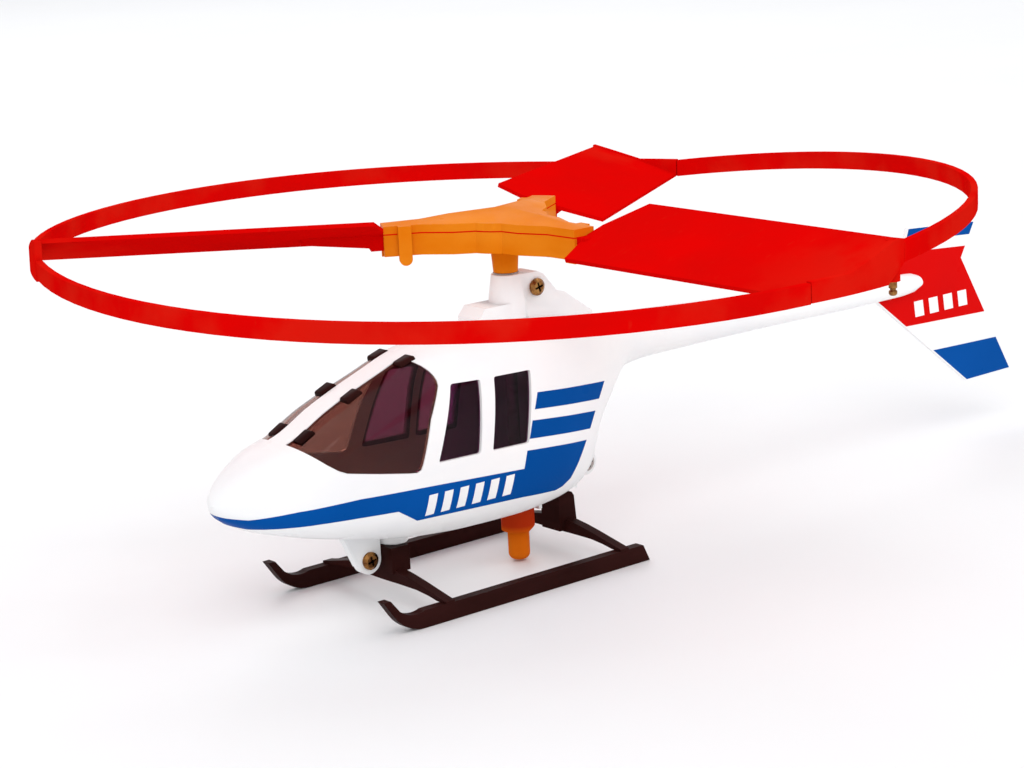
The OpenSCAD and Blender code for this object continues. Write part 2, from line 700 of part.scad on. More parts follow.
fuselage_left();
fuselage_right();
windscreen_left();
windscreen_right();
side_window_left();
side_window_right();
tail_fin();
upper_bush();
lower_bush();
mast_screw();
belly_screw();
tail_screw();
front_strut();
rear_strut();
skid_left();
skid_right();
axle();
hub_frame();
hub_cap();
thrust_washer();
drive_pin();
blade_1();
blade_2();
blade_3();
ring_arc_1();
ring_arc_2();
ring_arc_3();
balance_pin();
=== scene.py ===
"""Toy helicopter with a ring rotor: the visual model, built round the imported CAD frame.

Shapes are drawn in millimetres round the rotor axis, in the frame's directions (+X nose, +Y port,
+Z up), and to_frame() moves them into the frame in metres. The mechanical parts stay the CAD's own
and get rounded edges. The moulded shell, the glazing with its hooks, the fin's bands and the
stripes are built here.
"""
import json
import math

import bmesh
import bpy
from mathutils import Matrix, Vector
from mathutils.bvhtree import BVHTree
from mathutils.interpolate import poly_3d_calc


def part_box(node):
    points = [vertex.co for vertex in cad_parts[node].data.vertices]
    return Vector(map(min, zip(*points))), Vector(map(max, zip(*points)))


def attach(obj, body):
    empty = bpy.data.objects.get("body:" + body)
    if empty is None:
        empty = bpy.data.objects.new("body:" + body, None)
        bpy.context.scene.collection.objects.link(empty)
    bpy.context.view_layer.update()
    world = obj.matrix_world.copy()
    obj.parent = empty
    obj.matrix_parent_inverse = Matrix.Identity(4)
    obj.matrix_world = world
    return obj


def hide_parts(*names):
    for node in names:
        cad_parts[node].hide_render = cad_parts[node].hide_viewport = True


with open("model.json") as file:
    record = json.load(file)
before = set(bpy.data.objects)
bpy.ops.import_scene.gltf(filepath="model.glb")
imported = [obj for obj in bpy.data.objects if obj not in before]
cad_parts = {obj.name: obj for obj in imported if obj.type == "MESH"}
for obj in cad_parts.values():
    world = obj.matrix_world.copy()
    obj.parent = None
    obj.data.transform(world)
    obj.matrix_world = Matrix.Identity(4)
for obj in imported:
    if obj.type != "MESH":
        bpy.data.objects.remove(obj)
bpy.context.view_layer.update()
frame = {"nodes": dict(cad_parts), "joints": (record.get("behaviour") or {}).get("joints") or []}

MM = 0.001
AXIS_X = frame["joints"][0]["pos_m"][0]
CABIN_HALF_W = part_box("fuselage_left")[1].y / MM
SIDES = {"left": 1, "right": -1}

# Edges sharper than these are shaded as edges and rounded, and flatter than the third, merged
SHARP_ANGLE = math.radians(32)
BEVEL_ANGLE = math.radians(34)
FLAT_ANGLE = math.radians(0.6)
BEVEL_STEPS = 3
# Points closer than this, in metres, are one point
WELD_DISTANCE = 1e-6
# A cutter reaches this far from the centre plane, in millimetres, clear of everything on its side
CUT_REACH = 30


# ---------------------------------------------------------------- mesh tools


def to_frame(point):
    """A point in millimetres round the rotor axis, as metres in the frame."""
    return Vector((point[0] * MM + AXIS_X, point[1] * MM, point[2] * MM))


def new_object(name, points, faces, material=None):
    """A smooth-shaded mesh object with its faces turned outwards."""
    mesh = bpy.data.meshes.new(name)
    mesh.from_pydata([to_frame(p) for p in points], [], faces)
    tidy(mesh)
    obj = bpy.data.objects.new(name, mesh)
    bpy.context.scene.collection.objects.link(obj)
    if material:
        mesh.materials.append(material)
    return obj


def tidy(mesh):
    """Welds, turns all faces outwards, and shades smooth except across sharp edges."""
    work = bmesh.new()
    work.from_mesh(mesh)
    bmesh.ops.remove_doubles(work, verts=work.verts, dist=WELD_DISTANCE)
    bmesh.ops.recalc_face_normals(work, faces=work.faces)
    work.to_mesh(mesh)
    work.free()
    mesh.polygons.foreach_set("use_smooth", [True] * len(mesh.polygons))
    mesh.set_sharp_from_angle(angle=SHARP_ANGLE)


def apply_modifiers(obj):
    """Replaces the object's mesh with what its modifiers make of it."""
    graph = bpy.context.evaluated_depsgraph_get()
    mesh = bpy.data.meshes.new_from_object(obj.evaluated_get(graph))
    obj.modifiers.clear()
    obj.data = mesh
    tidy(mesh)
    return obj


# shade_like looks this share of the way into a face, and takes a source face to be the same
# surface when it is this near and its normal agrees this well
LOOK_INWARDS = 0.02
SAME_DISTANCE = 0.05 * MM
SAME_DIRECTION = 0.8


def shade_like(mesh, source):
    """Gives a mesh the source's smooth normals wherever it still has the source's surface."""
    tree = BVHTree.FromPolygons([v.co for v in source.vertices],
                                [tuple(p.vertices) for p in source.polygons])
    smooth = [corner.vector.copy() for corner in source.corner_normals]
    normals = [corner.vector.copy() for corner in mesh.corner_normals]
    for face in mesh.polygons:
        for k in face.loop_indices:
            # a point just inside the face, so that the nearest source face is the one it came from
            corner = mesh.vertices[mesh.loops[k].vertex_index].co
            point = corner.lerp(face.center, LOOK_INWARDS)
            near, facing, index, distance = tree.find_nearest(point)
            if distance > SAME_DISTANCE or facing.dot(face.normal) < SAME_DIRECTION:
                continue
            origin = source.polygons[index]
            shares = poly_3d_calc([source.vertices[v].co for v in origin.vertices], near)
            blend = sum((smooth[i] * share for i, share in zip(origin.loop_indices, shares)),
                        Vector())
            normals[k] = blend.normalized()
    mesh.normals_split_custom_set(normals)


def combine(obj, others, operation, keep_shading=False):
    """Boolean of obj with each of the others, which are then deleted.

    keep_shading gives what is left of obj's surface its old smooth normals.
    """
    before = obj.data.copy() if keep_shading else None
    for other in others:
        modifier = obj.modifiers.new("combine", "BOOLEAN")
        modifier.operation = operation
        modifier.object = other
        modifier.solver = "EXACT"
        apply_modifiers(obj)
        bpy.data.objects.remove(other)
    if keep_shading:
        shade_like(obj.data, before)
        bpy.data.meshes.remove(before)
    return obj


def prism(name, outline, low, high, material=None, round_edges=0.0):
    """Extrudes an outline of (x, z) from a low to a high y."""
    count = len(outline)
    points = [(x, y, z) for y in (low, high) for x, z in outline]
    faces = [tuple(range(count)), tuple(range(count, 2 * count))]
    faces += [(i, (i + 1) % count, count + (i + 1) % count, count + i) for i in range(count)]
    obj = new_object(name, points, faces, material)
    if round_edges:
        soften(obj, round_edges)
        apply_modifiers(obj)
    return obj


def turned(name, profile, x, steps=48):
    """Turns a profile of (radius, z) about the vertical line at x on the centre plane."""
    rows = len(profile)
    points, faces = [], []
    for i in range(steps):
        angle = 2 * math.pi * i / steps
        points += [(x + r * math.cos(angle), r * math.sin(angle), z) for r, z in profile]
        a, b = i * rows, (i + 1) % steps * rows
        faces += [(a + k, b + k, b + (k + 1) % rows, a + (k + 1) % rows) for k in range(rows)]
    return new_object(name, points, faces)


def soften(obj, width):
    """Rounds the edges by a width in millimetres.

    Coplanar faces are merged first, so that only real edges are bevelled.
    """
    weld = obj.modifiers.new("weld", "WELD")
    weld.merge_threshold = 2 * WELD_DISTANCE
    merge = obj.modifiers.new("merge", "DECIMATE")
    merge.decimate_type = "DISSOLVE"
    merge.angle_limit = FLAT_ANGLE
    bevel = obj.modifiers.new("bevel", "BEVEL")
    bevel.width = width * MM
    bevel.segments = BEVEL_STEPS
    bevel.limit_method = "ANGLE"
    bevel.angle_limit = BEVEL_ANGLE
    normals = obj.modifiers.new("normals", "WEIGHTED_NORMAL")
    normals.weight = 80
    normals.keep_sharp = False


def finish_piece(obj, body, slot, *replaced):
    """Attaches a finished piece to what it rides on and hides the CAD nodes it stands for. The slot
    is not used.
    """
    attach(obj, body)
    if replaced:
        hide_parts(*replaced)


# ---------------------------------------------------------------- materials


class Nodes:
    """Short names for building a node tree."""

    def __init__(self, name):
        self.material = bpy.data.materials.new(name)
        self.material.use_nodes = True
        self.tree = self.material.node_tree
        self.shader = self.tree.nodes["Principled BSDF"]
        self.place = self.add("ShaderNodeTexCoord").outputs["Object"]

    def add(self, kind, **settings):
        node = self.tree.nodes.new(kind)
        for key, value in settings.items():
            setattr(node, key, value)
        return node

    def link(self, output, socket):
        self.tree.links.new(output, socket)

    def noise(self, scale, detail, stretch=None):
        """Noise with features 1 / scale metres across, stretched along the axes if asked."""
        node = self.add("ShaderNodeTexNoise")
        node.inputs["Scale"].default_value = scale
        node.inputs["Detail"].default_value = detail
        if stretch:
            mapping = self.add("ShaderNodeMapping")
            mapping.inputs["Scale"].default_value = stretch
            self.link(self.place, mapping.inputs["Vector"])
            self.link(mapping.outputs["Vector"], node.inputs["Vector"])
        else:
            self.link(self.place, node.inputs["Vector"])
        return node.outputs["Fac"]

    def span(self, value, low, high, to_low=0.0, to_high=1.0):
        """Maps low..high of a value to to_low..to_high, clamped."""
        node = self.add("ShaderNodeMapRange")
        self.link(value, node.inputs["Value"])
        for key, number in zip(("From Min", "From Max", "To Min", "To Max"),
                               (low, high, to_low, to_high)):
            node.inputs[key].default_value = number
        return node.outputs["Result"]

    def times(self, a, b):
        node = self.add("ShaderNodeMath", operation="MULTIPLY")
        for socket, value in zip(node.inputs, (a, b)):
            if isinstance(value, (int, float)):
                socket.default_value = value
            else:
                self.link(value, socket)
        return node.outputs[0]

    def mix(self, amount, a, b):
        """Mixes two colours, each a tuple or an output."""
        node = self.add("ShaderNodeMix", data_type="RGBA")
        self.link(amount, node.inputs["Factor"])
        for socket, value in ((node.inputs[6], a), (node.inputs[7], b)):
            if isinstance(value, tuple):
                socket.default_value = (*value, 1.0)
            else:
                self.link(value, socket)
        return node.outputs[2]

    def uneven_gloss(self, value, low, high, smoothest, roughest):
        """Roughness that follows a value: smoothest at low, roughest at high."""
        self.link(self.span(value, low, high, smoothest, roughest),
                  self.shader.inputs["Roughness"])

    def bump(self, height, distance, strength):
        """Bumps up to a distance in metres high."""
        node = self.add("ShaderNodeBump")
        node.inputs["Distance"].default_value = distance
        node.inputs["Strength"].default_value = strength
        self.link(height, node.inputs["Height"])
        self.link(node.outputs["Normal"], self.shader.inputs["Normal"])


PLASTIC_IOR = 1.5
PLASTIC_SHINE = 0.02
# An IOR below the real plastic's keeps grey reflections off the panes
GLAZING_IOR = 1.2
GLAZING_SHINE = 0.1
CLEAR = 0.04
PALER = 1.12
# Where the blades' tips start and end to look worn, as distances in metres from the axis
WORN_FROM = 0.082
WORN_TO = 0.112
PATCH_STRENGTH = 0.4
SCRATCH_STRENGTH = 0.25


def moulded(name, colour, shade, roughness, tip_wear=None, painted_shade_top=None, shine=PLASTIC_SHINE):
    """Moulded plastic: flow marks in the colour, uneven gloss, and an orange-peel surface.

    tip_wear is a colour that shows in patches and scratches, most towards the blades' tips. The
    colour and two heights in metres given after it paint shade: the colour takes over between the
    heights, darkening the top of a part that sits in shade under another.
    """
    n = Nodes(name)
    flow = n.span(n.noise(scale=38, detail=5, stretch=(1, 1, 2.5)), low=0.35, high=0.68)
    colour_out = n.mix(flow, colour, shade)
    if tip_wear:
        offset = n.add("ShaderNodeVectorMath", operation="SUBTRACT")
        n.link(n.place, offset.inputs[0])
        offset.inputs[1].default_value = (AXIS_X, 0, 0)
        flat = n.add("ShaderNodeVectorMath", operation="MULTIPLY")
        n.link(offset.outputs[0], flat.inputs[0])
        flat.inputs[1].default_value = (1, 1, 0)
        radius = n.add("ShaderNodeVectorMath", operation="LENGTH")
        n.link(flat.outputs[0], radius.inputs[0])
        near_tip = n.span(radius.outputs["Value"], WORN_FROM, WORN_TO)
        patches = n.span(n.noise(scale=55, detail=6), low=0.46, high=0.6)
        worn = n.times(n.times(near_tip, patches), PATCH_STRENGTH)
        colour_out = n.mix(worn, colour_out, tip_wear)
        scratches = n.span(n.noise(scale=260, detail=3, stretch=(1, 6, 1)), low=0.66, high=0.74)
        colour_out = n.mix(n.times(scratches, SCRATCH_STRENGTH), colour_out, tip_wear)
    # painted shade: the part's top darkens towards the given colour between the two heights, as in
    # shade under another part
    if painted_shade_top:
        parts = n.add("ShaderNodeSeparateXYZ")
        n.link(n.place, parts.inputs[0])
        painted_shade_colour, painted_shade_from, painted_shade_to = painted_shade_top
        colour_out = n.mix(n.span(parts.outputs["Z"], painted_shade_from, painted_shade_to), colour_out,
                           painted_shade_colour)
    n.link(colour_out, n.shader.inputs["Base Color"])
    n.uneven_gloss(n.noise(scale=120, detail=5), 0.3, 0.75, roughness - 0.06, roughness + 0.12)
    n.shader.inputs["IOR"].default_value = PLASTIC_IOR
    n.shader.inputs["Specular IOR Level"].default_value = shine
    n.bump(n.noise(scale=900, detail=3), distance=0.02 * MM, strength=0.35)
    return n.material


def metal(name, colour, stain, roughness, grain=(1, 1, 1)):
    """Plated or ground metal with stains and fine grain."""
    n = Nodes(name)
    tarnish = n.span(n.noise(scale=700, detail=6), low=0.42, high=0.66)
    n.link(n.mix(tarnish, colour, stain), n.shader.inputs["Base Color"])
    n.shader.inputs["Metallic"].default_value = 1.0
    n.uneven_gloss(n.noise(scale=900, detail=4, stretch=grain), 0.3, 0.7, roughness - 0.08,
                   roughness + 0.14)
    n.bump(n.noise(scale=2600, detail=3, stretch=grain), distance=0.02 * MM, strength=0.4)
    return n.material


def smoked(name, tint):
    """Clear tinted plastic with faint moulding ripples."""
    n = Nodes(name)
    density = n.span(n.noise(scale=45, detail=3), low=0.3, high=0.7)
    paler = tuple(min(1.0, c * PALER) for c in tint)
    n.link(n.mix(density, tint, paler), n.shader.inputs["Base Color"])
    n.shader.inputs["Transmission Weight"].default_value = 1.0
    n.shader.inputs["IOR"].default_value = GLAZING_IOR
    n.shader.inputs["Specular IOR Level"].default_value = GLAZING_SHINE
    n.uneven_gloss(n.noise(scale=300, detail=4), 0.35, 0.8, CLEAR - 0.02, CLEAR + 0.05)
    n.bump(n.noise(scale=130, detail=2), distance=0.03 * MM, strength=0.2)
    return n.material


def printed(name, colour, shade):
    """Printed sticker: even colour with slight fading, and a satin film."""
    n = Nodes(name)
    fading = n.span(n.noise(scale=30, detail=4), low=0.35, high=0.7)
    n.link(n.mix(fading, colour, shade), n.shader.inputs["Base Color"])
    n.uneven_gloss(n.noise(scale=220, detail=4), 0.3, 0.7, 0.26, 0.42)
    n.shader.inputs["Specular IOR Level"].default_value = PLASTIC_SHINE
    n.bump(n.noise(scale=1400, detail=2), distance=0.01 * MM, strength=0.3)
    return n.material


WHITE = moulded("white_plastic", (0.93, 0.93, 0.92), (0.88, 0.89, 0.90), 0.24)
RED = moulded("red_plastic", (0.67, 0.0012, 0.001), (0.59, 0.002, 0.0015), 0.34,
              tip_wear=(0.64, 0.02, 0.008), shine=0.0)
ORANGE = moulded("orange_plastic", (0.70, 0.165, 0.002), (0.78, 0.235, 0.012), 0.3, shine=0.01)
# The drive pin is the hub's orange plastic painted darker as shade under the belly, and painted
# darker still towards its top, where the belly overhangs it
PIN = moulded("pin_plastic", (0.62, 0.105, 0.003), (0.70, 0.15, 0.006), 0.3,
              painted_shade_top=((0.44, 0.03, 0.005), 0.0075, 0.0095), shine=0.01)
DARK = moulded("dark_plastic", (0.019, 0.0048, 0.004), (0.032, 0.008, 0.007), 0.36)
BUSH = moulded("bush_plastic", (0.05, 0.045, 0.045), (0.08, 0.07, 0.065), 0.4)
BRASS = metal("yellow_plating", (0.36, 0.17, 0.05), (0.15, 0.055, 0.02), 0.26)
STEEL = metal("ground_steel", (0.42, 0.38, 0.36), (0.30, 0.24, 0.22), 0.3, (1, 1, 0.05))
GLAZING = smoked("smoked_glazing", (0.36, 0.21, 0.18))
SIDE_GLAZING = smoked("side_glazing", (0.24, 0.08, 0.18))
BLUE_FILM = printed("blue_film", (0.0005, 0.067, 0.30), (0.001, 0.078, 0.345))
RED_FILM = printed("red_film", (0.69, 0.0015, 0.001), (0.62, 0.002, 0.002))
WHITE_FILM = printed("white_film", (0.93, 0.93, 0.92), (0.88, 0.89, 0.90))

# ---------------------------------------------------------------- fuselage

# Stations from the nose to the tail, as in the CAD: x, lowest z, highest z, half-width as a share of
# the cabin's, z of the widest line, and the roundness of the upper and lower parts
STATIONS = [
    (86.85, 32.2, 32.6, 0.02, 32.4, 2, 2), (86.7, 31.6, 33.2, 0.07, 32.4, 2, 2),
    (86.4, 31, 34, 0.14, 32.4, 2, 2), (85.4, 29.2, 35.8, 0.28, 32.2, 2.1, 2.1),
    (83, 27.4, 37.8, 0.44, 31.8, 2.3, 2.2), (78.5, 25.2, 40.6, 0.62, 31, 2.6, 2.4),
    (73, 23.4, 42.8, 0.78, 30.4, 2.9, 2.5), (69, 22.2, 43.6, 0.86, 30, 3, 2.6),
    (65.5, 21.2, 44.8, 0.9, 30, 3, 2.7), (58, 19.4, 48.8, 0.96, 30, 3, 2.8),
    (50, 17.6, 52.2, 0.99, 30, 2.9, 2.9), (42, 16, 55.2, 1, 30, 2.8, 3),
    (34, 14.9, 58, 1, 31, 2.8, 3), (22, 14, 60, 1, 32, 2.8, 3), (8, 13.8, 60.8, 1, 32, 2.8, 3),
    (-4, 14.5, 60.8, 0.97, 33, 2.7, 2.9), (-11, 15.8, 60, 0.91, 34, 2.6, 2.8),
    (-15.6, 18, 59, 0.85, 37, 2.5, 2.6), (-18.4, 25.5, 58.3, 0.8, 41, 2.4, 2.4),
    (-24.2, 34, 57.3, 0.68, 45, 2.3, 2.3), (-32, 42.6, 56, 0.54, 49, 2.2, 2.2),
    (-42, 43.6, 55.4, 0.45, 49, 2.2, 2.2), (-60, 43.6, 54.4, 0.37, 48.6, 2.2, 2.2),
    (-90, 43.4, 52.4, 0.3, 47.8, 2.3, 2.3), (-120, 43, 50.2, 0.26, 46.6, 2.4, 2.4),
    (-136, 43, 49.2, 0.24, 46.1, 2.4, 2.4), (-142, 43.4, 48.8, 0.22, 46, 2.2, 2.2),
    (-145, 44.4, 47.8, 0.17, 46, 2, 2), (-145.7, 45.4, 46.8, 0.06, 46, 2, 2),
]
STATION_PITCH = 2.2
SECTION_STEPS = 26
# No layer of the shell comes closer to the centre plane than this at its widest
LEAST_HALF_W = 0.25
SHELL_T = 1.2
PILLAR_HALF_W = 3.3


def monotone(xs, ys):
    """A cubic through the points that never overshoots them, as a function."""
    steps = [(ys[i + 1] - ys[i]) / (xs[i + 1] - xs[i]) for i in range(len(xs) - 1)]
    slopes = [steps[0]]
    for a, b in zip(steps, steps[1:]):
        slopes.append(0.0 if a * b <= 0 else 2 * a * b / (a + b))
    slopes.append(steps[-1])

    def value(x):
        i = max(k for k in range(len(xs) - 1) if k == 0 or xs[k] <= x)
        width = xs[i + 1] - xs[i]
        t = (x - xs[i]) / width
        return ((1 + 2 * t) * (1 - t) ** 2 * ys[i] + t * (1 - t) ** 2 * width * slopes[i]
                + t * t * (3 - 2 * t) * ys[i + 1] + t * t * (t - 1) * width * slopes[i + 1])

    return value


def fine_stations(first=0, last=None):
    """The stations, with smooth ones added between them."""
    rows = [s[:3] + (s[3] * CABIN_HALF_W,) + s[4:] for s in STATIONS]
    positions = [-s[0] for s in rows]
    curves = [monotone(positions, [s[k] for s in rows]) for k in range(1, 7)]
    picked = positions[first:last]
    dense = []
    for a, b in zip(picked, picked[1:]):
        count = max(1, round((b - a) / STATION_PITCH))
        dense += [a + (b - a) * i / count for i in range(count)]
    return [(-x, *(curve(x) for curve in curves)) for x in dense + [picked[-1]]]


def section(station, inset):
    """Half section at a station, from the bottom centre over the widest line to the top."""
    x, low, high, half, widest, upper, lower = station
    half = max(half - inset, LEAST_HALF_W)
    points = []
    for j in range(2 * SECTION_STEPS + 1):
        above = j > SECTION_STEPS
        angle = math.pi / 2 * (j - SECTION_STEPS if above else j) / SECTION_STEPS
        power = 2 / (upper if above else lower)
        across = math.cos(angle) if above else math.sin(angle)
        along = math.sin(angle) if above else math.cos(angle)
        reach = high - inset - widest if above else low + inset - widest
        y = half * max(across, 0) ** power if 0 < j < 2 * SECTION_STEPS else 0.0
        points.append((x, y, widest + reach * max(along, 0) ** power))
    return points


def half_shell(name, side, outer, inner, first=0, last=None, material=None):
    """Closed half of the shell between two insets from its outer surface."""
    stations = fine_stations(first, last)
    columns = 2 * SECTION_STEPS + 1
    layer = len(stations) * columns
    points = []
    for inset in (outer, inner):
        for i, station in enumerate(stations):
            shift = -inset if i == 0 else inset if i == len(stations) - 1 else 0
            points += [(x + shift, side * y, z) for x, y, z in section(station, inset)]
    faces = []
    for i in range(len(stations) - 1):
        a, b = i * columns, (i + 1) * columns
        for j in range(columns - 1):
            faces.append((a + j, b + j, b + j + 1, a + j + 1))
            faces.append((layer + a + j, layer + a + j + 1, layer + b + j + 1, layer + b + j))
        for j in (0, columns - 1):
            faces.append((a + j, b + j, layer + b + j, layer + a + j))
    for start in (0, (len(stations) - 1) * columns):
        for j in range(columns - 1):
            a = start + j
            faces.append((a, a + 1, layer + a + 1, layer + a))
    return new_object(name, points, faces, material)


# Outlines in the side view, as (x, z)
WINDSCREEN = [(68.6, 43.6), (66.4, 41.6), (64, 39.5), (61.6, 37.8), (59.6, 36.9), (51.4, 35.2),
              (43, 33.6), (40.9, 33.3), (39.7, 33.7), (39, 34.9), (38, 37.4), (35.4, 44.6),
              (31.4, 51.5), (31.3, 52.6), (31.6, 53.7), (32.2, 54.8), (33.2, 56), (34.8, 57.3),
              (36.5, 58.5), (36.5, 70), (68.6, 70)]
SIDE_WINDOWS = {
    "front": [(34.6, 34.4), (22.2, 34.1), (19.8, 51), (28.2, 51.4)],
    "rear": [(18.6, 34), (7.6, 33.7), (4.8, 50.6), (15.8, 50.9)],
}
MAST = [(0.5, 71.2), (-7.2, 71.1), (-9, 70.2), (-12.9, 65.6), (-15.4, 64.8), (-24, 58.8), (-24, 57),
        (0.5, 57)]
PLINTH = [(0, 64.8), (9.9, 64.8), (12, 62.5), (12, 58), (0, 58)]
BELLY_LUG = (45.8, 10.8)
TAIL_LUG = (-20.6, 20.9)
TAIL_PLATE = [(-20.6, 17.7), (-17.3, 17.7), (-17.3, 15.2), (-13, 15.9), (-13, 24), (-20.6, 24)]
LUG_R = 3.3
LUG_SIDE = [(53, 20), (53, 17.9), (49.2, 9.8), BELLY_LUG, (BELLY_LUG[0] - LUG_R, BELLY_LUG[1]),
            (BELLY_LUG[0] - LUG_R, 18)]
TAIL_LUG_R = 3.2
RIB = [(-6.6, 12), (-5.6, 12), (-5.6, 16), (-6.6, 16)]
# Round parts, as profiles of (radius, z), and the x of the front strut's boss
FRONT_BOSS_X = 38
POST = [(1.65, 57), (4.5, 57), (4.5, 64.8), (3.6, 71.1), (3.5, 71.3), (3.3, 71.4), (1.65, 71.4)]
BOSS = [(1.3, 13.6), (3.4, 13.6), (3.6, 13.8), (3.6, 18), (1.3, 18)]
HOUSING = [(3.45, 13.9), (4.9, 13.9), (5, 14), (5, 18), (3.45, 18)]
MAST_BORE = [(0, 50), (1.9, 50), (1.9, 80), (0, 80)]
BELLY_BORE = [(0, 10), (3.43, 10), (3.43, 20), (0, 20)]
# How far each flat part reaches from the centre plane
MAST_HALF_T = 3.2
PLINTH_HALF_T = 4
LUG_HALF_T = 1.1
TAIL_LUG_HALF_T = 2.5
RIB_HALF_T = 1.5
# An outline larger than the toy, to cut off what a round part has on the other side
EVERYTHING = [(-200, -10), (100, -10), (100, 100), (-200, 100)]
WINDOW_CORNER_R = 0.7
WINDOW_CUT_FROM = 9
# A rounded corner takes up no more than this share of the edges beside it
EDGE_SHARE = 0.45


def round_corners(outline, radius, steps=4):
    """Rounds every corner of an outline, more gently where the corner is blunt."""
    rounded = []
    count = len(outline)
    for i in range(count):
        corner = Vector(outline[i])
        before = Vector(outline[i - 1]) - corner
        after = Vector(outline[(i + 1) % count]) - corner
        reach = min(radius, before.length * EDGE_SHARE, after.length * EDGE_SHARE)
        start, end = corner + before.normalized() * reach, corner + after.normalized() * reach
        for k in range(steps + 1):
            t = k / steps
            point = start * (1 - t) ** 2 + corner * (2 * t * (1 - t)) + end * t * t
            rounded.append((point.x, point.y))
    return rounded


def shrunk(outline, gap):
    """The outline moved in from its edges by about a gap."""
    centre = Vector((sum(p[0] for p in outline), sum(p[1] for p in outline))) / len(outline)
    return [tuple(p - (p - centre).normalized() * gap) for p in map(Vector, outline)]


def disc(centre, radius, steps=40):
    """A circle, as an outline."""
    return [(centre[0] + radius * math.cos(2 * math.pi * i / steps),
             centre[1] + radius * math.sin(2 * math.pi * i / steps)) for i in range(steps)]


def span_y(side, low, high):
    """Low and high y on a side, in rising order."""
    return (low, high) if side > 0 else (-high, -low)


def half_turned(name, side, profile, x):
    """The part of a turned shape that is on one side of the centre plane."""
    far_side = prism("far", EVERYTHING, *span_y(-side, 0, CUT_REACH))
    return combine(turned(name, profile, x), [far_side], "DIFFERENCE")


def fuselage(label, side):
    """One moulded half: the shell with its mast, lugs and bosses, then its openings."""
    shell = half_shell("shell_" + label, side, 0, SHELL_T, material=WHITE)
    uncut = shell.data.copy()
    combine(shell, [
        prism("mast", MAST, *span_y(side, 0, MAST_HALF_T)),
        prism("plinth", PLINTH, *span_y(side, 0, PLINTH_HALF_T)),
        prism("lug", LUG_SIDE, *span_y(side, 0, LUG_HALF_T)),
        prism("lug_end", disc(BELLY_LUG, LUG_R), *span_y(side, 0, LUG_HALF_T)),
        prism("tail_lug", disc(TAIL_LUG, TAIL_LUG_R), *span_y(side, 0, TAIL_LUG_HALF_T)),
        prism("tail_plate", TAIL_PLATE, *span_y(side, 0, TAIL_LUG_HALF_T)),
        prism("rib", RIB, *span_y(side, 0, RIB_HALF_T)),
        half_turned("post", side, POST, 0),
        half_turned("boss", side, BOSS, FRONT_BOSS_X),
        half_turned("housing", side, HOUSING, 0),
    ], "UNION")
    openings = [prism("cut", WINDSCREEN, *span_y(side, PILLAR_HALF_W, CUT_REACH))]
    openings += [prism("cut", round_corners(window, WINDOW_CORNER_R),
                       *span_y(side, WINDOW_CUT_FROM, CUT_REACH))
                 for window in SIDE_WINDOWS.values()]
    openings += [turned("cut", MAST_BORE, 0), turned("cut", BELLY_BORE, 0)]
    combine(shell, openings, "DIFFERENCE")
    shade_like(shell.data, uncut)
    bpy.data.meshes.remove(uncut)
    shell.name = "shell_" + label
    finish_piece(shell, "airframe", "white_shell", "fuselage_" + label)


for label, side in SIDES.items():
    fuselage(label, side)

# ---------------------------------------------------------------- glazing

PANE_T = 0.9
# How far each pane's face lies behind the shell's, and the run of stations that it spans
SCREEN_DEPTH = 0.15
SCREEN_STATIONS = (6, 15)
SCREEN_GAP = 0.12
SIDE_PANE_DEPTH = 0.75
SIDE_PANE_STATIONS = (11, 17)
SIDE_PANE_LAP = 1.2
# Three dark hooks along each windscreen's upper edge: x, z and slope
HOOKS = [(64.4, 44.6, 29), (50.9, 51.6, 24), (35.4, 56.9, 18)]
HOOK_OUTLINE = [(-2.4, -0.5), (2.4, -0.5), (2.1, 0.75), (-2.1, 0.75)]
HOOK_CORNER_R = 0.5
HOOK_EDGE_R = 0.25
HOOK_FROM = PILLAR_HALF_W + 0.1
HOOK_W = 3


def pane(name, side, outline, y_from, depth, material, stations):
    """A pane of glazing: the run of the shell's surface behind an outline."""
    glass = half_shell(name, side, depth, depth + PANE_T, *stations, material=material)
    cutter = prism("cut", outline, *span_y(side, y_from, CUT_REACH))
    return combine(glass, [cutter], "INTERSECT", keep_shading=True)


def hook(name, side, x, z, slope):
    """A small rounded hook that lies on the pane beside the pillar."""
    turn = Matrix.Rotation(math.radians(-slope), 2)
    outline = [tuple(turn @ Vector(p) + Vector((x, z)))
               for p in round_corners(HOOK_OUTLINE, HOOK_CORNER_R)]
    return prism(name, outline, *span_y(side, HOOK_FROM, HOOK_FROM + HOOK_W), material=DARK,
                 round_edges=HOOK_EDGE_R)


for label, side in SIDES.items():
    screen = pane("windscreen_pane_" + label, side, shrunk(WINDSCREEN, SCREEN_GAP),
                  PILLAR_HALF_W + SCREEN_GAP, SCREEN_DEPTH, GLAZING, SCREEN_STATIONS)
    finish_piece(screen, "airframe", "smoked_glazing", "windscreen_" + label)
    for i, place in enumerate(HOOKS):
        finish_piece(hook(f"hook_{label}_{i + 1}", side, *place), "airframe", "dark_gear")
    for where, window in SIDE_WINDOWS.items():
        outline = shrunk(round_corners(window, WINDOW_CORNER_R), -SIDE_PANE_LAP)
        glass = pane(f"side_pane_{where}_{label}", side, outline, WINDOW_CUT_FROM,
                     SIDE_PANE_DEPTH, SIDE_GLAZING, SIDE_PANE_STATIONS)
        finish_piece(glass, "airframe", "smoked_glazing", "side_window_" + label)

# ---------------------------------------------------------------- stripes on the fuselage

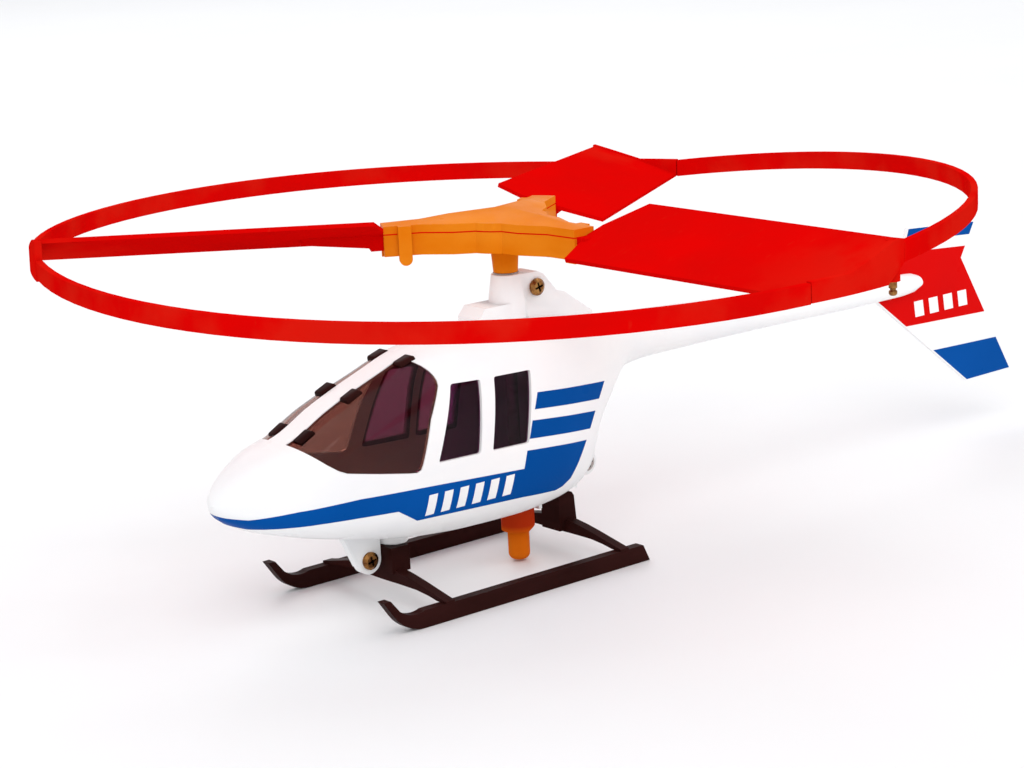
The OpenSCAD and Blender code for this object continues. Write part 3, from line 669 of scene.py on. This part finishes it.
STRIPES = {
    "stripe_upper": [(3.8, 45.1), (-19.6, 43.1), (-17, 39.3), (5.2, 41.3)],
    "stripe_middle": [(6.2, 38.8), (-15.3, 36.7), (-13, 32.8), (7.4, 34.6)],
    "stripe_lower": [(8.3, 31.9), (-11.5, 30.3), (-8.6, 25.2), (-6.4, 21.7), (-4, 20.1),
                     (-1.8, 19.6), (9.3, 20.5), (41.1, 21.9), (46.7, 25.4), (57.2, 26.1),
                     (67.2, 26.6), (75.8, 26.8), (81.2, 27), (84.4, 28), (87.5, 28.5),
                     (87.5, 30.5), (82, 29.7), (72, 30.4), (57, 30.5), (40.6, 29.6), (9.4, 27.7)],
}
FILM_T = 0.05
# A film starts this far off the surface below it, and this far from the centre plane
FILM_GAP = 0.005
FILM_FROM = 0.05
# The bars on the stripe: how many, the first one's foot, their pitch, rise, height, width and lean
MARKS = 6
MARK_AT = (13.5, 22.3)
MARK_PITCH = 4.6
MARK_RISE = 0.06
MARK_H = 4.8
MARK_W = 2.5
MARK_LEAN = -1.1


def film(name, outline, side, material, lift=0.0):
    """A printed film on the shell's outer surface, lifted to lie on another film if asked."""
    sheet = half_shell(name, side, -FILM_T - lift, -lift - FILM_GAP, material=material)
    cutter = prism("cut", outline, *span_y(side, FILM_FROM, CUT_REACH))
    return combine(sheet, [cutter], "INTERSECT", keep_shading=True)


def bar(x, low, high, width, lean):
    """A leaning bar, as an outline."""
    return [(x, low), (x + width, low), (x + width + lean, high), (x + lean, high)]


for label, side in SIDES.items():
    for name, outline in STRIPES.items():
        finish_piece(film(f"{name}_{label}", outline, side, BLUE_FILM), "airframe", "white_shell")
    # plain slanted bars take the place of any wording
    for i in range(MARKS):
        x, foot = MARK_AT[0] + MARK_PITCH * i, MARK_AT[1] + MARK_RISE * i
        mark = film(f"mark_{i + 1}_{label}", bar(x, foot, foot + MARK_H, MARK_W, MARK_LEAN), side,
                    WHITE_FILM, FILM_T)
        finish_piece(mark, "airframe", "white_shell")

# ---------------------------------------------------------------- tail fin

FIN_HALF_T = (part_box("tail_fin")[1].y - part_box("tail_fin")[0].y) / 2 / MM
# The printed area, just inside the fin's edge
FIN_EDGE = [(-141.6, 61.1), (-168.4, 59.25), (-162.95, 49.9), (-183.4, 14.85), (-165.1, 14.7),
            (-128.2, 43.5), (-125, 44.9), (-125, 47.3), (-137, 48.2)]
# Each band lies between two lines, given as their z at BAND_X and their fall per mm aft of it
BAND_X = -140
BAND_LINES = [(70, 0), (57.9, 0.07), (54.9, 0.076), (34.2, 0.037), (25.9, 0.03), (0, 0)]
# The first of each band's two lines, and its film
BANDS = {"fin_blue_top": (0, BLUE_FILM), "fin_red": (2, RED_FILM), "fin_blue_low": (4, BLUE_FILM)}

# The bars on the fin, like those on the stripe
FIN_MARKS = 4
FIN_MARK_AT = (-165.5, 36.2)
FIN_MARK_PITCH = 6
FIN_MARK_H = 4.4
FIN_MARK_W = 3.6
FIN_MARK_LEAN = 0.6


def clip(outline, line, keep_above):
    """The part of an outline on one side of a band line."""
    level, fall = line
    sign = 1 if keep_above else -1

    def height(point):
        return sign * (point[1] - level - fall * (point[0] - BAND_X))

    kept = []
    for a, b in zip(outline, outline[1:] + outline[:1]):
        if height(a) >= 0:
            kept.append(a)
        if height(a) * height(b) < 0:
            t = height(a) / (height(a) - height(b))
            kept.append((a[0] + t * (b[0] - a[0]), a[1] + t * (b[1] - a[1])))
    return kept


for label, side in SIDES.items():
    for name, (line, material) in BANDS.items():
        outline = clip(clip(FIN_EDGE, BAND_LINES[line], False), BAND_LINES[line + 1], True)
        band = prism(f"{name}_{label}", outline, *span_y(side, FIN_HALF_T, FIN_HALF_T + FILM_T),
                     material=material)
        finish_piece(band, "airframe", "fin_plastic")
    for i in range(FIN_MARKS):
        x, foot = FIN_MARK_AT[0] + FIN_MARK_PITCH * i, FIN_MARK_AT[1]
        mark = prism(f"fin_mark_{i + 1}_{label}",
                     bar(x, foot, foot + FIN_MARK_H, FIN_MARK_W, FIN_MARK_LEAN),
                     *span_y(side, FIN_HALF_T + FILM_T, FIN_HALF_T + 2 * FILM_T),
                     material=WHITE_FILM)
        finish_piece(mark, "airframe", "fin_plastic")

# ---------------------------------------------------------------- CAD parts that stay

# Material and edge rounding in millimetres of each CAD node that keeps its own shape
KEPT = {
    "tail_fin": (WHITE, 0.12),
    "upper_bush": (BUSH, 0.1), "lower_bush": (BUSH, 0.1),
    "mast_screw": (BRASS, 0.12), "belly_screw": (BRASS, 0.12), "tail_screw": (STEEL, 0.12),
    "front_strut": (DARK, 0.3), "rear_strut": (DARK, 0.3),
    "skid_left": (DARK, 0.35), "skid_right": (DARK, 0.35),
    "axle": (STEEL, 0.1), "thrust_washer": (STEEL, 0.05),
    "hub_frame": (ORANGE, 0.25), "hub_cap": (ORANGE, 0.3), "drive_pin": (PIN, 0.2),
    "blade_1": (RED, 0.15), "blade_2": (RED, 0.15), "blade_3": (RED, 0.15),
    "ring_arc_1": (RED, 0.15), "ring_arc_2": (RED, 0.15), "ring_arc_3": (RED, 0.15),
    "balance_pin": (BRASS, 0.06),
}
for name, (material, width) in KEPT.items():
    node = frame["nodes"][name]
    node.data.materials.clear()
    node.data.materials.append(material)
    soften(node, width)

# ---------------------------------------------------------------- floor, light and camera


FLOOR_HALF_W = 12000
# Each light's place and size in metres, and its power in watts
LIGHTS = {
    "key": ((0.9, 1.1, 1.5), 1.4, 13),
    "fill": ((-1.3, 0.9, 0.9), 1.2, 4),
    "rim": ((-0.6, -1.4, 1.3), 1.0, 6),
}
LIT_POINT = Vector((0, 0, 0.04))


def floor():
    """A plain pale floor, large enough for every view."""
    half = FLOOR_HALF_W
    ground = new_object("floor", [(-half, -half, 0), (half, -half, 0), (half, half, 0),
                                  (-half, half, 0)], [(0, 1, 2, 3)])
    n = Nodes("floor_paint")
    cloud = n.span(n.noise(scale=3, detail=3), low=0.3, high=0.7)
    n.link(n.mix(cloud, (0.83, 0.83, 0.835), (0.86, 0.86, 0.865)), n.shader.inputs["Base Color"])
    n.uneven_gloss(n.noise(scale=60, detail=4), 0.3, 0.7, 0.55, 0.7)
    ground.data.materials.append(n.material)


def area_light(name, at, size, power):
    """A soft square light that points at the model's middle."""
    lamp = bpy.data.lights.new(name, "AREA")
    lamp.size = size
    lamp.energy = power
    obj = bpy.data.objects.new(name, lamp)
    bpy.context.scene.collection.objects.link(obj)
    obj.location = at
    obj.rotation_euler = (LIT_POINT - obj.location).to_track_quat("-Z", "Y").to_euler()


floor()
for name, (at, size, power) in LIGHTS.items():
    area_light(name, at, size, power)

STUDIO_COLOUR = (0.97, 0.98, 1.0, 1)
STUDIO_STRENGTH = 0.92

world = bpy.data.worlds.new("studio")
world.use_nodes = True
background = world.node_tree.nodes["Background"]
background.inputs["Color"].default_value = STUDIO_COLOUR
background.inputs["Strength"].default_value = STUDIO_STRENGTH
bpy.context.scene.world = world
bpy.context.scene.view_settings.view_transform = "Standard"

# The camera's place round the rotor axis in mm, the way it looks, its roll and its lens
CAMERA_AT = (384.4, 471.6, 187.4)
CAMERA_FORWARD = (-0.615, -0.754, -0.229)
CAMERA_ROLL = 0.049
LENS = 91.4
SENSOR_W = 36

camera_data = bpy.data.cameras.new("camera")
camera_data.lens = LENS
camera_data.sensor_width = SENSOR_W
camera = bpy.data.objects.new("camera", camera_data)
bpy.context.scene.collection.objects.link(camera)
forward = Vector(CAMERA_FORWARD).normalized()
right = forward.cross(Vector((0, 0, 1))).normalized()
down = forward.cross(right)
axes = Matrix((math.cos(CAMERA_ROLL) * right + math.sin(CAMERA_ROLL) * down,
               math.sin(CAMERA_ROLL) * right - math.cos(CAMERA_ROLL) * down,
               -forward)).transposed()
camera.matrix_world = Matrix.Translation(to_frame(CAMERA_AT)) @ axes.to_4x4()
bpy.context.scene.camera = camera
